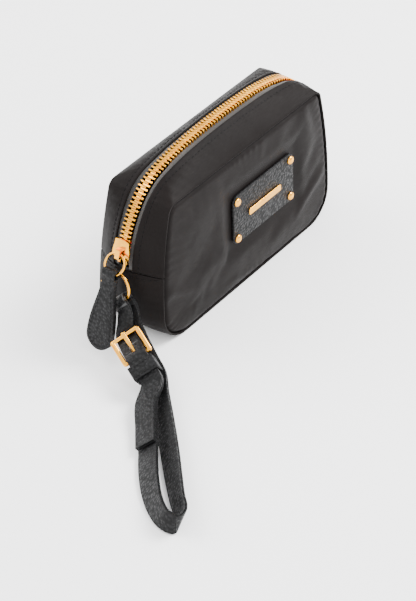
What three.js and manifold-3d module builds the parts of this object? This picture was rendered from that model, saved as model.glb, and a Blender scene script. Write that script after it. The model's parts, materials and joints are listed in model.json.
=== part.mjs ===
// Zippered pouch with a buckled wrist strap, standing on its base.
// Millimetres. +X runs along the pouch, -Y is the front, +Z is up.
// The origin is the middle of the base. The wrist strap hangs off the -X end.
import * as THREE from 'three';
import { mergeVertices } from 'three/addons/utils/BufferGeometryUtils.js';
import Module from 'manifold-3d';

const wasm = await Module();
wasm.setup();

// ---------- driving dimensions ----------

const { sin, cos, tan, abs, sign, min, max, PI } = Math;
const deg = PI / 180;

const crownHeight = 106;        // top of the zipper gusset, at the middle
const seamHeight = 91.5;        // straight top seam of the front and back panels
const baseHalfDepth = 24;
const panelLean = 2 * deg;      // the panels come together towards the top
const endFoot = [280, 6];       // lower end of the pouch, at the middle: radius, turn
const bulge = 1.6;              // how the gusset rounds over from seam to zipper

const cloth = 1.2;              // outer fabric
const lining = 0.6;
const liningDepth = 2.6;        // from the outside of the fabric to the lining
const gap = 0.3;                // between pieces that lie on each other
const zipperSlot = 6.4;         // half the gap between the gusset's folded edges

const tapeDepth = 1.8;          // middle of the zipper tape, below the fabric surface
const tape = 0.6;
const tapeWidth = 14;           // from the zipper's middle to the tape's outer edge
const tapeClearance = 1.1;      // from the teeth's backs to the tape's inner edge
const toothPitch = 2.45;
const toothLength = 0.82;
const toothReach = 1.25;        // past the middle, between the other row's teeth
const chainHalfWidth = 3.1;
const chainHalfHeight = 1.3;

const cornerRadius = 60;        // lower corner of the zipper's path, which the slider runs on
const cornerCentre = new THREE.Vector2();
const sliderAngle = 12.8 * deg; // slider above the corner's lower end, at rest
const sliderLength = 11.4;
const sliderPlate = 1.2;

const pullRing = { radius: 6.2, wire: 0.65, hang: 52 * deg };
const strapRing = { radius: 9.2, wire: 0.85, hang: 78 * deg, strapAt: 50 * deg };
const pullTab = { length: 43, width: 17.6, neck: 8.4, thickness: 2.8, hang: 74 * deg };

const plate = { x: 12, z: 50, width: 57, height: 33, radius: 4.5, thickness: 1.8 };
const rivet = { dx: 25, dz: 12.6, radius: 2.6, dome: 1.7, shank: 0.9 };
const nameBar = { width: 30, height: 4.2, thickness: 0.8 };

const strapWidth = 12;
const ply = 0.86;               // each of the strap's two layers of leather
const plyPitch = ply + 0.44;    // between the middles of the two layers
const strapThickness = ply + plyPitch;
const buckle = { inner: 13.2, reach: 7.3, bar: 1.1, side: 1.3 };
const keeper = { from: 12, to: 20.5, wall: 1.2, below: 2.5, above: 5.9 };

// ---------- materials ----------

function material(name, color, roughness, metalness = 0) {
  return new THREE.MeshStandardMaterial({ name, color, roughness, metalness });
}
const nylon = () => material('nylon', 0x2a2625, 0.6);
const liningCloth = () => material('lining_cloth', 0x1d1b1b, 0.8);
const tapeCloth = () => material('tape_cloth', 0x2e2b2b, 0.85);
const leather = () => material('leather', 0x38383a, 0.55);
const brass = () => material('brass', 0xd9a441, 0.25, 1);

// ---------- solids ----------

const pouch = new THREE.Group();

// One vertex per place, so that a geometry is a closed mesh.
function closed(geometry) {
  const bare = geometry.clone();
  for (const name of Object.keys(bare.attributes)) {
    if (name !== 'position') bare.deleteAttribute(name);
  }
  return mergeVertices(bare, 1e-4);
}

function volume(geometry) {
  const at = geometry.attributes.position;
  const [a, b, c] = [new THREE.Vector3(), new THREE.Vector3(), new THREE.Vector3()];
  let sum = 0;
  for (let i = 0; i < geometry.index.count; i += 3) {
    a.fromBufferAttribute(at, geometry.index.getX(i));
    b.fromBufferAttribute(at, geometry.index.getX(i + 1));
    c.fromBufferAttribute(at, geometry.index.getX(i + 2));
    sum += a.dot(b.cross(c)) / 6;
  }
  return sum;
}

// Moves every vertex of a closed geometry, and turns its faces out again if that mirrored it.
function bent(geometry, place) {
  const shape = closed(geometry);
  const at = shape.attributes.position;
  const point = new THREE.Vector3();
  for (let i = 0; i < at.count; i += 1) {
    place(point.fromBufferAttribute(at, i));
    at.setXYZ(i, point.x, point.y, point.z);
  }
  if (volume(shape) < 0) {
    const index = shape.index.array;
    for (let i = 0; i < index.length; i += 3) [index[i], index[i + 1]] = [index[i + 1], index[i]];
  }
  shape.computeVertexNormals();
  return shape;
}

function toManifold(geometry) {
  const shape = closed(geometry);
  return new wasm.Manifold(new wasm.Mesh({
    numProp: 3,
    vertProperties: new Float32Array(shape.attributes.position.array),
    triVerts: new Uint32Array(shape.index.array),
  }));
}

function fromManifold(solid) {
  const mesh = solid.getMesh();
  const geometry = new THREE.BufferGeometry();
  geometry.setAttribute('position', new THREE.BufferAttribute(mesh.vertProperties, 3));
  geometry.setIndex(new THREE.BufferAttribute(mesh.triVerts, 1));
  geometry.computeVertexNormals();
  return geometry;
}

function joined(...geometries) {
  return fromManifold(geometries.map(toManifold).reduce((whole, next) => whole.add(next)));
}

function cut(geometry, ...tools) {
  return fromManifold(tools.map(toManifold).reduce((whole, tool) => whole.subtract(tool),
    toManifold(geometry)));
}

function add(name, geometry, finish, parent = pouch) {
  const mesh = new THREE.Mesh(geometry, finish);
  mesh.name = name;
  parent.add(mesh);
  return mesh;
}

function box(width, depth, height, x = 0, y = 0, z = 0) {
  return new THREE.BoxGeometry(width, depth, height).translate(x, y, z);
}

// A round bar along Y.
function bar(radius, length, x = 0, y = 0, z = 0, sides = 16) {
  return new THREE.CylinderGeometry(radius, radius, length, sides).translate(x, y, z);
}

function roundedRectangle(width, height, radius) {
  const shape = new THREE.Shape();
  const [x, y] = [width / 2 - radius, height / 2 - radius];
  shape.absarc(x, y, radius, 0, PI / 2);
  shape.absarc(-x, y, radius, PI / 2, PI);
  shape.absarc(-x, -y, radius, PI, PI * 1.5);
  shape.absarc(x, -y, radius, PI * 1.5, PI * 2);
  return shape;
}

// ---------- the pouch's outer surface ----------

// Half an outline in the XZ plane, from the crown over the -X end and down to the base.
// A leg is [radius, degrees turned] or, where it is straight, [length].
// The foot's radius and the base's length close the outline at z = 0 and x = 0.
function halfOutline(top, legs) {
  const path = [];
  let [x, z, heading] = [0, top, 0];
  const walkLeg = ([size, turn = 0]) => {
    const leg = { x, z, heading, size, turn: turn * deg };
    path.push(leg);
    [x, z, heading] = walked(leg, 1);
  };
  legs.forEach(walkLeg);
  walkLeg([z / (cos(heading) + 1), 180 - heading / deg]);
  walkLeg([-x]);
  return path;
}

function walked({ x, z, heading, size, turn }, t) {
  const end = heading + turn * t;
  if (turn === 0) return [x - size * t * cos(heading), z - size * t * sin(heading), end];
  return [x - size * (sin(end) - sin(heading)), z - size * (cos(heading) - cos(end)), end];
}

const zipperLine = halfOutline(crownHeight, [[400, 4], [130, 12], [36, 34], [cornerRadius, 40], endFoot]);
const seamLine = halfOutline(seamHeight, [[30], [35.6], [5, 76.8], [300, 7.7], [300, 5.5]]);
const crossSeam = 4;            // where the zipper gusset is sewn to the bottom gusset
const aroundEnd = zipperLine.length;

// u runs round the pouch: 0 at the crown, crossSeam at the end seams, aroundEnd under the base.
// It is positive over the -X end and negative over the +X end.
function outline(path, u) {
  const leg = min(Math.floor(abs(u)), path.length - 1);
  const [x, z] = walked(path[leg], abs(u) - leg);
  return [u < 0 ? -x : x, z];
}

function seamHalfDepth(u) {
  return baseHalfDepth - outline(seamLine, u)[1] * tan(panelLean);
}

function surface(u, y) {
  const share = min(abs(y) / seamHalfDepth(u), 1.2) ** bulge;
  const [cx, cz] = outline(zipperLine, u);
  const [sx, sz] = outline(seamLine, u);
  return new THREE.Vector3(cx + (sx - cx) * share, y, cz + (sz - cz) * share);
}

// A point at a depth below the surface, square to it.
function gussetPoint(u, y, depth) {
  const step = 0.01;
  const along = surface(u + step, y).sub(surface(u - step, y));
  const across = surface(u, y + 0.1).sub(surface(u, y - 0.1));
  const inward = along.cross(across).normalize();
  return surface(u, y).addScaledVector(inward, depth);
}

// A strip of gusset between two values of u, two sides and two depths.
function strip({ u: [u0, u1], y: [side0, side1], depth: [d0, d1], steps, rows }) {
  const grid = new THREE.BoxGeometry(1, 1, 1, steps, rows, 1);
  return bent(grid, (p) => {
    const u = u0 + (u1 - u0) * (p.x + 0.5);
    const [y0, y1] = [side0(u), side1(u)];
    p.copy(gussetPoint(u, y0 + (y1 - y0) * (p.y + 0.5), d0 + (d1 - d0) * (p.z + 0.5)));
  });
}

// A piece of the front (side = -1) or back (side = 1) panel's outline, offset inward.
function panelShape(inset) {
  const rim = [];
  const steps = [1, 1, 6, 3, 3, 6, 1];
  for (const side of [1, -1]) {
    const half = [];
    steps.forEach((count, leg) => {
      for (let i = 0; i < count; i += 1) {
        const [x, z, heading] = walked(seamLine[leg], i / count);
        half.push(new THREE.Vector2(side * (x + inset * sin(heading)), z - inset * cos(heading)));
      }
    });
    rim.push(...(side > 0 ? half : half.slice(1).reverse()));
    if (side > 0) rim.push(new THREE.Vector2(0, inset));
  }
  return new THREE.Shape(rim);
}

// Stands a flat piece on a panel: its y is the height, and its z the depth below the outer face.
function onPanel(geometry, side) {
  return bent(geometry, (p) => {
    const face = baseHalfDepth - p.y * tan(panelLean);
    p.set(p.x, side * (face - p.z), p.y);
  });
}

function panel(name, side, inset, depth, thickness, finish) {
  const flat = new THREE.ExtrudeGeometry(panelShape(inset), { depth: thickness, bevelEnabled: false });
  add(name, onPanel(flat.translate(0, 0, depth), side), finish);
}

// ---------- outer fabric and lining ----------

const seamEdge = (side, trim = 0) => (u) => side * (seamHalfDepth(u) - trim);
const fixedEdge = (y) => () => y;
const seamGap = 0.01;           // in u, each side of the seams across the ends

function fabric() {
  panel('front_panel', -1, cloth + gap, 0, cloth, nylon());
  panel('back_panel', 1, cloth + gap, 0, cloth, nylon());
  for (const [name, side] of [['front', -1], ['back', 1]]) {
    const over = { u: [crossSeam - seamGap, seamGap - crossSeam], steps: 48 };
    const outer = { y: [fixedEdge(side * zipperSlot), seamEdge(side)], depth: [0, cloth], rows: 4 };
    const inner = {
      y: [fixedEdge(side * (zipperSlot + 1.2)), seamEdge(side, cloth + 2 * gap)],
      depth: [liningDepth, liningDepth + lining],
      rows: 3,
    };
    add(`zipper_gusset_${name}`, strip({ ...over, ...outer }), nylon());
    add(`gusset_lining_${name}`, strip({ ...over, ...inner, steps: 36 }), liningCloth());
  }
  bottomGusset('bottom_gusset', [0, cloth], 0, nylon());
  bottomGusset('bottom_lining', [liningDepth, liningDepth + lining], cloth + 2 * gap, liningCloth());
  const liningInset = liningDepth + lining + gap;
  panel('front_lining', -1, liningInset, cloth + gap, lining, liningCloth());
  panel('back_lining', 1, liningInset, cloth + gap, lining, liningCloth());
}

// One strip from end seam to end seam, under the base: u runs on past aroundEnd on the far half.
function bottomGusset(name, depth, trim, finish) {
  const start = crossSeam + seamGap;
  const span = 2 * (aroundEnd - start);
  const folded = (t) => {
    const u = start + span * (t + 0.5);
    return u <= aroundEnd ? u : u - 2 * aroundEnd;
  };
  const grid = new THREE.BoxGeometry(1, 1, 1, 44, 4, 1);
  const geometry = bent(grid, (p) => {
    const u = folded(p.x);
    const y = p.y * 2 * (seamHalfDepth(u) - trim);
    const inset = depth[0] + (depth[1] - depth[0]) * (p.z + 0.5);
    const safe = abs(u) > aroundEnd - 0.02 ? sign(u) * (aroundEnd - 0.02) : u;
    const point = gussetPoint(safe, y, inset);
    p.set(abs(u) > aroundEnd - 0.02 ? 0 : point.x, point.y, point.z);
  });
  add(name, geometry, finish);
}

// ---------- zipper ----------

// The zipper's path at the middle of the tape, leg by leg, with each leg's length.
const tapeLegs = zipperLine.slice(0, crossSeam).map((leg) => ({
  ...leg, length: (leg.size - tapeDepth) * leg.turn,
}));
const chainEnd = tapeLegs.reduce((sum, leg) => sum + leg.length, 0);

// A point on the chain: s from the crown towards the -X end, and a height above the tape.
function chainPoint(s, y, height) {
  let rest = abs(s);
  let i = 0;
  while (rest > tapeLegs[i].length && i < tapeLegs.length - 1) rest -= tapeLegs[i++].length;
  const [x, z, heading] = walked(tapeLegs[i], rest / tapeLegs[i].length);
  const out = height - tapeDepth;
  return new THREE.Vector3(-sign(s) * abs(x - out * sin(heading)), y, z + out * cos(heading));
}

// The slider turns about the middle of the lower corner's arc.
const lastLeg = tapeLegs[crossSeam - 1];
cornerCentre.set(
  lastLeg.x + cornerRadius * sin(lastLeg.heading),
  lastLeg.z - cornerRadius * cos(lastLeg.heading),
);
const sliderRadius = cornerRadius - tapeDepth;
const sliderAt = chainEnd - sliderAngle * sliderRadius;

// One row of teeth on its beaded edge: a comb in the tape's plane, bent along the chain.
function teethRow(side) {
  const start = sliderAt - 1.6;
  const count = Math.floor((start + chainEnd - 12) / toothPitch);
  const bead = 1.6;
  const sunk = 0.2;
  const first = start - (side > 0 ? toothPitch / 2 : 0);
  const onChain = (geometry) => bent(geometry, (p) => p.copy(chainPoint(p.x, side * p.y, p.z)));
  const depth = chainHalfWidth - bead;
  const spine = new THREE.BoxGeometry(count * toothPitch, depth, 2 * chainHalfHeight, count, 1, 1)
    .translate(first - count * toothPitch / 2, bead + depth / 2, 0);
  const reach = toothReach + bead + sunk;
  const teeth = [];
  for (let i = 0; i < count; i += 1) {
    const tooth = box(toothLength, reach, 2 * (chainHalfHeight - sunk / 2));
    teeth.push(onChain(tooth.translate(first - (i + 0.5) * toothPitch, reach / 2 - toothReach, 0)));
  }
  return joined(onChain(spine), ...teeth);
}

function stop(side, s, length) {
  const block = box(length, chainHalfWidth - 1, 2 * chainHalfHeight, 0, 1 + (chainHalfWidth - 1) / 2);
  return bent(block, (p) => p.copy(chainPoint(s + p.x, side * p.y, p.z)));
}

function zipper() {
  for (const [name, side] of [['front', -1], ['back', 1]]) {
    add(`zipper_tape_${name}`, strip({
      u: [crossSeam - seamGap, seamGap - crossSeam],
      y: [fixedEdge(side * (chainHalfWidth + tapeClearance)), fixedEdge(side * tapeWidth)],
      depth: [tapeDepth - tape / 2, tapeDepth + tape / 2],
      steps: 40,
      rows: 2,
    }), tapeCloth());
    add(`zipper_teeth_${name}`, teethRow(side), brass());
    add(`top_stop_${name}`, stop(side, sliderAt + sliderLength / 2 + 2.6, 2.6), brass());
  }
  const bottomStop = box(3.4, 2 * chainHalfWidth, 2 * chainHalfHeight);
  add('bottom_stop', bent(bottomStop, (p) => p.copy(chainPoint(p.x - chainEnd + 6, p.y, p.z))), brass());
}

// ---------- slider, its ring and the pull tab ----------

// A frame on the slider's path: x out of the pouch, z down along the chain, away from the crown.
function sliderFrame() {
  const frame = new THREE.Group();
  frame.position.set(cornerCentre.x, 0, cornerCentre.y);
  frame.rotation.y = PI + sliderAngle;
  pouch.add(frame);
  return frame;
}

const plateInside = chainHalfHeight + 0.4;
const bridge = { at: -2.2, inside: 2.3, wall: 1.1, width: 3.0, length: 5.6 };
const topPlate = { mouth: 5.7, throat: 4.7 };
const bottomPlateHalf = 3.6;

// A slider plate, wide at the mouth where the open tapes come in. Its x is the chain's direction.
function sliderPlateShape(mouth, throat) {
  const [low, high] = [-sliderLength / 2, sliderLength / 2];
  const shape = new THREE.Shape();
  shape.moveTo(low + 1.5, -mouth);
  shape.quadraticCurveTo(low, -mouth, low, 0);
  shape.quadraticCurveTo(low, mouth, low + 1.5, mouth);
  shape.bezierCurveTo(1, mouth, 1, throat, high - 1, throat);
  shape.quadraticCurveTo(high, throat, high, 0);
  shape.quadraticCurveTo(high, -throat, high - 1, -throat);
  shape.bezierCurveTo(1, -throat, 1, -mouth, low + 1.5, -mouth);
  return shape;
}

// Everything on the slider is drawn with x = height off the tape, z = along the chain.
function slider() {
  const flat = { depth: sliderPlate, bevelEnabled: false, curveSegments: 5 };
  const turn = (geometry) => bent(geometry, (p) => p.set(p.z, p.y, -p.x));
  const crown = sliderPlateShape(topPlate.mouth, topPlate.throat);
  const top = turn(new THREE.ExtrudeGeometry(crown, flat).translate(0, 0, plateInside));
  const bottom = turn(new THREE.ExtrudeGeometry(sliderPlateShape(bottomPlateHalf, bottomPlateHalf), flat)
    .translate(0, 0, -plateInside - sliderPlate));
  const post = box(2 * plateInside + 1, 1.3, 2.4, 0, 0, sliderLength / 2 - 2.4);
  const height = bridge.inside + bridge.wall;
  const foot = plateInside + sliderPlate;
  const arch = box(height + 0.4, bridge.width, bridge.length, foot + height / 2 - 0.2, 0, -bridge.at);
  const hollow = box(bridge.inside, bridge.width + 1, bridge.length - 2 * bridge.wall,
    foot + bridge.inside / 2 + 0.05, 0, -bridge.at);
  const whole = cut(joined(top, bottom, post, arch), hollow);
  return whole.translate(sliderRadius, 0, 0);
}

// A direction down and out from the pouch's end, at an angle below the horizontal.
const hanging = (angle) => new THREE.Vector3(-cos(angle), 0, -sin(angle));

// A ring whose plane holds the Y axis and hangs from a point.
function ring({ radius, wire, hang }, from) {
  const centre = from.clone().addScaledVector(hanging(hang), radius);
  const torus = new THREE.TorusGeometry(radius, wire, 8, 28).rotateY(-hang);
  return { geometry: torus.translate(...centre.toArray()), centre };
}

function pullTabShape({ length, width, neck }) {
  const [w, n] = [width / 2, neck / 2];
  const shape = new THREE.Shape();
  shape.moveTo(-n, 0);
  shape.bezierCurveTo(-n - 0.6, -length * 0.3, -w, -length * 0.45, -w, -length + w);
  shape.bezierCurveTo(-w, -length + 3, -3.5, -length, 0, -length);
  shape.bezierCurveTo(3.5, -length, w, -length + 3, w, -length + w);
  shape.bezierCurveTo(w, -length * 0.45, n + 0.6, -length * 0.3, n, 0);
  return shape;
}

const tabFold = { outer: 2.9, inner: 2, rise: 0.6, reach: 3.2 };

// The tab hangs from the ring by a folded neck: a slot lets the ring's wire through along Y.
function pullTabSolid(at) {
  const body = new THREE.ExtrudeGeometry(pullTabShape(pullTab), {
    depth: pullTab.thickness, bevelEnabled: false, curveSegments: 8,
  }).translate(0, -tabFold.reach, -pullTab.thickness / 2);
  const upright = bent(body, (p) => p.set(p.z, p.x, p.y));
  const outer = new THREE.CylinderGeometry(tabFold.outer, tabFold.outer, pullTab.neck, 16)
    .translate(0, 0, tabFold.rise);
  const shoulder = box(4.2, pullTab.neck, 5, 0, 0, -2);
  const slot = new THREE.CylinderGeometry(tabFold.inner, tabFold.inner, 12, 16).translate(0, 0, tabFold.rise);
  const lower = box(3.2, 12, 2, 0, 0, -0.9);
  const solid = cut(joined(upright, outer, shoulder), slot, lower);
  return solid.rotateY(PI / 2 - pullTab.hang).translate(...at.toArray());
}

function sliderAndPull() {
  const frame = sliderFrame();
  add('zipper_slider', slider(), brass(), frame);
  frame.updateMatrixWorld(true);
  const foot = sliderRadius + plateInside + sliderPlate;
  const eye = new THREE.Vector3(foot + bridge.inside / 2 + 0.3, 0, -bridge.at).applyMatrix4(frame.matrixWorld);
  const { geometry, centre } = ring(pullRing, eye);
  add('pull_ring', geometry, brass());
  const low = centre.clone().addScaledVector(hanging(pullRing.hang), pullRing.radius);
  add('pull_tab', pullTabSolid(low), leather());
}

// ---------- strap ring on its sewn loop ----------

const loopWidth = 5;
const loopEye = new THREE.Vector3(-89.7, 0, 50.2);

function ringLoop() {
  const outer = bar(2.7, loopWidth, loopEye.x, 0, loopEye.z);
  const root = box(2, loopWidth, 1.6, loopEye.x + 2, 0, loopEye.z);
  add('ring_loop', cut(joined(outer, root), bar(1.6, 9, loopEye.x, 0, loopEye.z)), leather());
  add('strap_ring', ring(strapRing, loopEye).geometry, brass());
}

// ---------- name plate ----------

function namePlate() {
  const flat = (shape, thickness, z) => new THREE.ExtrudeGeometry(shape, {
    depth: thickness, bevelEnabled: false, curveSegments: 5,
  }).translate(plate.x, plate.z, z);
  const holes = (shape) => {
    for (const x of [-rivet.dx, rivet.dx]) {
      for (const y of [-rivet.dz, rivet.dz]) {
        const hole = new THREE.Path();
        hole.absarc(x, y, rivet.shank + gap, 0, 2 * PI, true);
        shape.holes.push(hole);
      }
    }
    return shape;
  };
  const face = roundedRectangle(plate.width, plate.height, plate.radius);
  const stack = gap + plate.thickness;
  add('name_plate', onPanel(flat(holes(face), plate.thickness, -stack), -1), leather());
  const bars = flat(roundedRectangle(nameBar.width, nameBar.height, 1), nameBar.thickness,
    -stack - gap - nameBar.thickness);
  add('name_bar', onPanel(bars, -1), brass());
  const seat = -stack - gap;
  let count = 0;
  for (const z of [rivet.dz, -rivet.dz]) {
    for (const x of [-rivet.dx, rivet.dx]) {
      count += 1;
      const dome = new THREE.LatheGeometry([
        new THREE.Vector2(0, 0),
        new THREE.Vector2(rivet.radius, 0),
        new THREE.Vector2(rivet.radius * 0.92, rivet.dome * 0.5),
        new THREE.Vector2(rivet.radius * 0.6, rivet.dome * 0.9),
        new THREE.Vector2(0, rivet.dome),
      ], 12).rotateX(-PI / 2).translate(plate.x + x, plate.z + z, seat);
      add(`rivet_${count}`, onPanel(dome, -1), brass());
    }
  }
}

// ---------- wrist strap ----------

// The buckle's frame: a runs down the strap, w across it, h out of its upper face.
const buckleCentre = new THREE.Vector3(-106, -22, 19.5);
const across = new THREE.Vector3(0.75, -0.47, 0.47).normalize();
const up = new THREE.Vector3(-0.38, -0.82, -0.43).cross(across).normalize();
const run = across.clone().cross(up);

function inBuckle(a, h, w = 0) {
  return buckleCentre.clone().addScaledVector(run, a).addScaledVector(up, h).addScaledVector(across, w);
}

function onBuckle(geometry) {
  return bent(geometry, (p) => p.copy(inBuckle(p.x, p.z, p.y)));
}

// A route is a list of stations: a point, the direction of the strap's right edge, and a width.
const stepsPerStation = 4;
const station = (point, side, width = strapWidth) => ({ point, side, width });

// A strip of leather along a route from its first station on, lifted off the route's middle
// towards its outer face.
function ribbon(route, lift, thickness, first = 0) {
  const curve = new THREE.CatmullRomCurve3(route.map(({ point }) => point), false, 'centripetal');
  const count = route.length - 1;
  const steps = (count - first) * stepsPerStation;
  return bent(new THREE.BoxGeometry(1, 1, 1, 1, 1, steps), (p) => {
    const along = first + (p.z + 0.5) * (count - first);
    const t = along / count;
    const i = min(Math.floor(along), count - 1);
    const share = along - i;
    const tangent = curve.getTangent(t);
    const side = route[i].side.clone().lerp(route[i + 1].side, share);
    side.addScaledVector(tangent, -side.dot(tangent)).normalize();
    const out = tangent.clone().cross(side);
    const width = route[i].width + (route[i + 1].width - route[i].width) * share;
    const height = lift + p.y * thickness;
    p.copy(curve.getPoint(t).addScaledVector(side, p.x * width).addScaledVector(out, height));
  });
}

const vector = (x, y, z) => new THREE.Vector3(x, y, z);

const nearBranch = [
  station(vector(-127.5, -50.5, 8), vector(0.66, -0.52, 0.54)),
  station(vector(-139.5, -60.3, 6.4), vector(0.6, -0.55, 0.58)),
  station(vector(-151.5, -70, 5.6), vector(0.55, -0.58, 0.6)),
];

// From the turned end under the lower bar, down the near side of the wrist loop, and back
// up its far side. The loop stands on its edge at the far end and leans over elsewhere.
function loopRoute() {
  const foldRadius = buckle.bar + gap + ply / 2 - plyPitch / 2;
  const atBar = (angle) => inBuckle(buckle.reach + foldRadius * cos(angle), foldRadius * sin(angle));
  return [
    station(inBuckle(17, -0.35), across),
    station(inBuckle(13, -0.7), across),
    ...[4, 5, 6, 7, 8, 9, 10, 11, 12].map((i) => station(atBar(-i * PI / 8), across)),
    station(inBuckle(12, 1.6), across),
    station(inBuckle(18, 1.6), across),
    station(inBuckle(25, 1.6), across),
    ...nearBranch,
    station(vector(-163.5, -79.6, 5.6), vector(0.5, -0.6, 0.62)),
    station(vector(-174.5, -89.8, 5.8), vector(0.45, -0.55, 0.7)),
    station(vector(-184, -101, 6.3), vector(0.35, -0.4, 0.85)),
    station(vector(-188.6, -110.5, 6.6), vector(0.25, -0.25, 0.94)),
    station(vector(-187.6, -116.8, 6.7), vector(0.2, -0.2, 0.96)),
    station(vector(-181.4, -115.8, 6.7), vector(0.2, -0.25, 0.95)),
    station(vector(-173.5, -107, 6.6), vector(0.3, -0.35, 0.89)),
    station(vector(-162, -95.4, 6.4), vector(0.4, -0.45, 0.8)),
    station(vector(-147.5, -81.3, 6.2), vector(0.45, -0.52, 0.72)),
    station(vector(-131.5, -65.2, 6.2), vector(0.5, -0.55, 0.67)),
    station(vector(-117.5, -50.6, 7), vector(0.58, -0.54, 0.6)),
    ...underBuckle(),
    ...ringFold(),
    station(inBuckle(-13, -0.9, 3.6), twisted(0.4), 8.5),
    station(inBuckle(-buckle.reach - 1, -2.8, 0.3), across, 10.8),
    station(inBuckle(0, 0.7), across),
    station(inBuckle(buckle.reach, 4.1), across),
    station(inBuckle(12, 4.25), across),
    station(inBuckle(18, 4.25), across),
    station(inBuckle(25, 4.25), across),
    ...nearBranch.map(onTop),
  ];
}

// The free end lies on the near side of the loop.
function onTop({ point, side }, i, branch) {
  const along = branch[min(i + 1, branch.length - 1)].point.clone().sub(branch[max(i - 1, 0)].point);
  const out = along.cross(side).normalize();
  return station(point.clone().addScaledVector(out, strapThickness + gap), side);
}

const twisted = (share) => across.clone().lerp(ringTangent, share).normalize();

const underBuckle = () => [
  station(inBuckle(20, -6, 2.5), across),
  station(inBuckle(11, -6.6, 3), across),
  station(inBuckle(2, -7, 3.6), across),
  station(inBuckle(-7, -7, 5), twisted(0.2), 11),
  station(inBuckle(-14, -5.6, 7.6), twisted(0.5), 9),
];

// Round the strap ring, low on its front side, where the pull of the strap brings it.
const ringPull = hanging(strapRing.hang).multiplyScalar(cos(strapRing.strapAt))
  .add(vector(0, -sin(strapRing.strapAt), 0));
const ringTangent = hanging(strapRing.hang).multiplyScalar(-sin(strapRing.strapAt))
  .add(vector(0, -cos(strapRing.strapAt), 0));
const ringOut = ringTangent.clone().cross(ringPull).normalize();
const ringCentre = loopEye.clone().addScaledVector(hanging(strapRing.hang), strapRing.radius);
const foldCentre = ringCentre.clone().addScaledVector(ringPull, strapRing.radius - 0.4);

function ringFold() {
  const radius = 1.7 + strapThickness / 2;
  const narrow = 7;
  const at = (out, pull) => foldCentre.clone().addScaledVector(ringOut, out).addScaledVector(ringPull, pull);
  return [
    station(at(radius, 4), ringTangent, 8),
    station(at(radius, 0), ringTangent, narrow),
    station(at(radius * 0.7, -radius * 0.7), ringTangent, narrow),
    station(at(0, -radius), ringTangent, narrow),
    station(at(-radius * 0.7, -radius * 0.7), ringTangent, narrow),
    station(at(-radius, 0), ringTangent, narrow),
    station(at(-radius, 4), ringTangent, 8),
  ];
}

function strap() {
  const route = loopRoute();
  const holeSlot = onBuckle(box(8.6, 2.6, 8, 0.6, 0, 1));
  const foldSlot = onBuckle(box(6, 3.6, 5.2, buckle.reach, 0, 0));
  const outer = ribbon(route, plyPitch / 2, ply);
  add('strap_outer', cut(outer, holeSlot, foldSlot), leather());
  const inner = ribbon(route, -plyPitch / 2, ply, 11);
  add('strap_lining', cut(inner, holeSlot), leather());
}

// The frame is one bar bent square; it lies in the buckle's a-w plane.
function buckleFrame() {
  const { inner, reach, bar: r, side } = buckle;
  const outerShape = roundedRectangle(2 * (reach + r), inner + 4 * side, 1.6);
  const hole = new THREE.Path();
  const [a, w] = [reach - r, inner / 2];
  hole.moveTo(-a, -w).lineTo(-a, w).lineTo(a, w).lineTo(a, -w);
  outerShape.holes.push(hole);
  const edge = 0.45;
  const frame = new THREE.ExtrudeGeometry(outerShape, {
    depth: 2 * (r - edge), bevelThickness: edge, bevelSize: edge, bevelOffset: -edge,
    bevelSegments: 1, curveSegments: 4,
  }).translate(0, 0, edge - r);
  add('buckle_frame', onBuckle(frame), brass());
}

function buckleProng() {
  const width = 2.2;
  const collar = bar(2.3, width, buckle.reach, 0, 0);
  const shank = new THREE.Shape();
  shank.moveTo(buckle.reach - 0.6, -1.9);
  shank.lineTo(buckle.reach - 0.6, -0.3);
  shank.lineTo(-buckle.reach - 1, 2.9);
  shank.lineTo(-buckle.reach - 1.6, 2.2);
  shank.lineTo(-buckle.reach - 1, 1.45);
  shank.lineTo(-buckle.reach + 1.8, 1.15);
  const arm = new THREE.ExtrudeGeometry(shank, { depth: width, bevelEnabled: false })
    .rotateX(PI / 2).translate(0, width / 2, 0);
  const eye = bar(buckle.bar + 0.5, 6, buckle.reach, 0, 0);
  add('buckle_prong', onBuckle(cut(joined(collar, arm), eye)), brass());
}

function strapKeeper() {
  const { from, to, wall, below, above } = keeper;
  const inner = strapWidth + 1;
  const middle = (from + to) / 2;
  const outside = box(to - from, inner + 2 * wall, below + above + 2 * wall, middle, 0, (above - below) / 2);
  const inside = box(to - from + 2, inner, below + above, middle, 0, (above - below) / 2);
  add('strap_keeper', onBuckle(cut(outside, inside)), leather());
}

fabric();
zipper();
sliderAndPull();
ringLoop();
namePlate();
strap();
buckleFrame();
buckleProng();
strapKeeper();
export default pouch;
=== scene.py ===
import json
import math

import bmesh
import bpy
from mathutils import Matrix, Vector, noise
from mathutils.bvhtree import BVHTree


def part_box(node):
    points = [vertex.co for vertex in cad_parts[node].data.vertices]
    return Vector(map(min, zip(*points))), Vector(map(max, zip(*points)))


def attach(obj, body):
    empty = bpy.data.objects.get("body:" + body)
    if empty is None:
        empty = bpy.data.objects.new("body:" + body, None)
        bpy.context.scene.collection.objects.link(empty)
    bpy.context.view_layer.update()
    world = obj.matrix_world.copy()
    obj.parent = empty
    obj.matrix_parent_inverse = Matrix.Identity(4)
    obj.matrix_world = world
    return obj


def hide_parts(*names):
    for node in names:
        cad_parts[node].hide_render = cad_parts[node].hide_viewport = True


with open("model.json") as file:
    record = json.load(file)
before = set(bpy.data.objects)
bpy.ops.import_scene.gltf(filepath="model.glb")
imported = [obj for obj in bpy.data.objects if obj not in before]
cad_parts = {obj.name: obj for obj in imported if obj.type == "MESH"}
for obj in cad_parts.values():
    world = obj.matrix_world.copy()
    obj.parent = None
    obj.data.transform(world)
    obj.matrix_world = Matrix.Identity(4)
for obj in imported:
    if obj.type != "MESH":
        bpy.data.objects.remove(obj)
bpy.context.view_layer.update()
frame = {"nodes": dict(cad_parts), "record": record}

mm = 0.001


# camera, light and floor

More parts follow.
